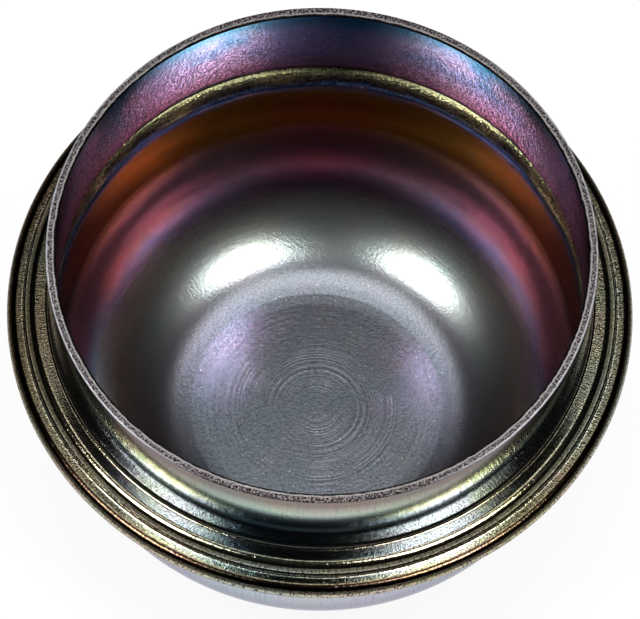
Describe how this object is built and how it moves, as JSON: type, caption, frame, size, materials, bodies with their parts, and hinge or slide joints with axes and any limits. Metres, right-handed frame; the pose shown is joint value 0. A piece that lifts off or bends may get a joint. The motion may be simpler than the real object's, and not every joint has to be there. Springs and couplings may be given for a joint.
{
  "type": "dust cap",
  "caption": "Round steel dust cap drawn from one sheet, with a collar driven into the hub, a folded stop flange and a deep bowl over the spindle end.",
  "frame": {"origin": "centre of the flat base's underside, on the turning axis", "axes": "+Z along the turning axis, from the base to the open mouth; +X and +Y are any two square directions across it"},
  "size_m": [0.058, 0.058, 0.0348],
  "materials": {
    "zinc_plate": "bright zinc plate under a passivate film that shows straw, purple, blue and green tints"
  },
  "bodies": {
    "root": {"dust_cap": "zinc_plate"}
  },
  "joints": []
}
